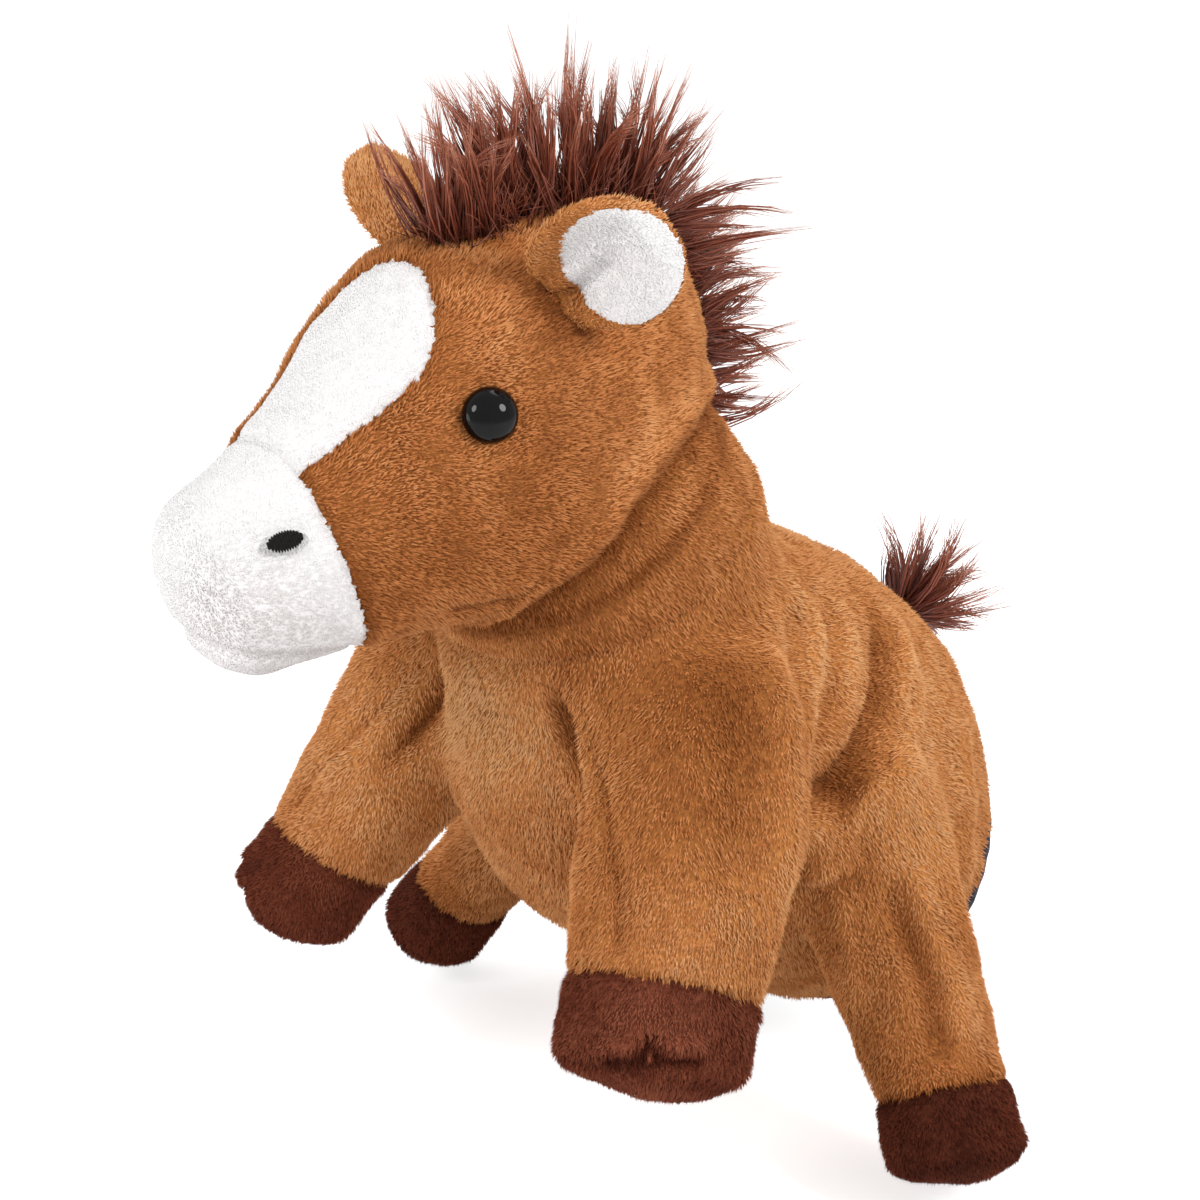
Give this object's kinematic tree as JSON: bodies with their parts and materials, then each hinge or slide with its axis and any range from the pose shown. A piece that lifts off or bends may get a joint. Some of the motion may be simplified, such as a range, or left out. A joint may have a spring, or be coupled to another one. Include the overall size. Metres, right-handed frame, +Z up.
{
  "type": "horse hand puppet",
  "caption": "Plush horse glove puppet with a stuffed head on a turning neck, finger-sleeve front legs, stuffed hind legs, soft ears, hair mane and tail, and an open hand space.",
  "frame": {"origin": "centre of the hand opening in the rear underside of the body", "axes": "+Z up, -Y the way the horse faces, +X the horse's left"},
  "size_m": [0.2116, 0.2522, 0.2605],
  "materials": {
    "tan_plush": "short dense tan-brown plush with a brushed nap",
    "white_plush": "short dense white plush",
    "brown_plush": "short dark red-brown plush",
    "brown_hair": "long glossy synthetic hair, dark at the roots",
    "navy_lining": "thin smooth woven lining",
    "navy_binding": "woven binding tape",
    "fibre_filling": "white polyester filling",
    "black_eye": "polished black dome",
    "washer_plastic": "moulded white washer",
    "black_thread": "satin-stitched black embroidery thread"
  },
  "bodies": {
    "torso": {"side_panel_left": "tan_plush", "side_panel_right": "tan_plush", "belly_panel": "tan_plush", "glove_lining": "navy_lining", "cuff_binding": "navy_binding"},
    "neck": {"neck_collar": "tan_plush", "neck_lining": "navy_lining"},
    "head": {"face_left": "tan_plush", "face_right": "tan_plush", "jaw_gusset": "tan_plush", "blaze": "white_plush", "muzzle_upper": "white_plush", "chin": "white_plush", "head_stuffing": "fibre_filling", "finger_pocket": "navy_lining", "eye_left": "black_eye", "eye_right": "black_eye", "eye_washer_left": "washer_plastic", "eye_washer_right": "washer_plastic", "nostril_left": "black_thread", "nostril_right": "black_thread", "mane": "brown_hair"},
    "ear_left": {"ear_inner_left": "white_plush", "ear_back_left": "tan_plush"},
    "ear_right": {"ear_inner_right": "white_plush", "ear_back_right": "tan_plush"},
    "front_leg_left": {"front_leg_left_sleeve": "tan_plush", "front_leg_left_hoof": "brown_plush", "front_leg_left_sole": "brown_plush", "front_leg_left_hoof_stuffing": "fibre_filling", "front_leg_left_lining": "navy_lining"},
    "front_leg_right": {"front_leg_right_sleeve": "tan_plush", "front_leg_right_hoof": "brown_plush", "front_leg_right_sole": "brown_plush", "front_leg_right_hoof_stuffing": "fibre_filling", "front_leg_right_lining": "navy_lining"},
    "hind_leg_left": {"hind_leg_left_skin": "tan_plush", "hind_leg_left_hoof": "brown_plush", "hind_leg_left_sole": "brown_plush", "hind_leg_left_stuffing": "fibre_filling"},
    "hind_leg_right": {"hind_leg_right_skin": "tan_plush", "hind_leg_right_hoof": "brown_plush", "hind_leg_right_sole": "brown_plush", "hind_leg_right_stuffing": "fibre_filling"},
    "tail": {"tail_tuft": "brown_hair"}
  },
  "joints": [
    {"name": "head_turn", "type": "hinge", "parent": "torso", "child": "neck", "pos_m": [0, -0.094, 0.116], "axis": [0, 0, 1], "range_deg": [-35, 35]},
    {"name": "head_nod", "type": "hinge", "parent": "neck", "child": "head", "pos_m": [0, -0.094, 0.116], "axis": [0.9863, -0.165, 0], "range_deg": [-22, 10]},
    {"name": "ear_left_flop", "type": "hinge", "parent": "head", "child": "ear_left", "pos_m": [0.02151, -0.12236, 0.17998], "axis": [-0.1878, -0.7208, 0.6672], "range_deg": [-20, 15]},
    {"name": "ear_right_flop", "type": "hinge", "parent": "head", "child": "ear_right", "pos_m": [-0.02957, -0.11381, 0.17998], "axis": [0.0571, 0.7427, -0.6672], "range_deg": [-20, 15]},
    {"name": "front_leg_left_swing", "type": "hinge", "parent": "torso", "child": "front_leg_left", "pos_m": [0.03963, -0.09969, 0.07024], "axis": [0.8707, -0.4913, -0.0221], "range_deg": [-25, 20]},
    {"name": "front_leg_right_swing", "type": "hinge", "parent": "torso", "child": "front_leg_right", "pos_m": [-0.03963, -0.09969, 0.07024], "axis": [0.8707, 0.4913, 0.0221], "range_deg": [-25, 20]},
    {"name": "hind_leg_left_swing", "type": "hinge", "parent": "torso", "child": "hind_leg_left", "pos_m": [0.05084, -0.0517, 0.0361], "axis": [0.98, -0.1504, -0.1301], "range_deg": [-18, 25]},
    {"name": "hind_leg_right_swing", "type": "hinge", "parent": "torso", "child": "hind_leg_right", "pos_m": [-0.05084, -0.0517, 0.0361], "axis": [0.98, 0.1504, 0.1301], "range_deg": [-18, 25]},
    {"name": "tail_swing", "type": "hinge", "parent": "torso", "child": "tail", "pos_m": [0, 0.02725, 0.06959], "axis": [1, 0, 0], "range_deg": [-25, 25]}
  ]
}
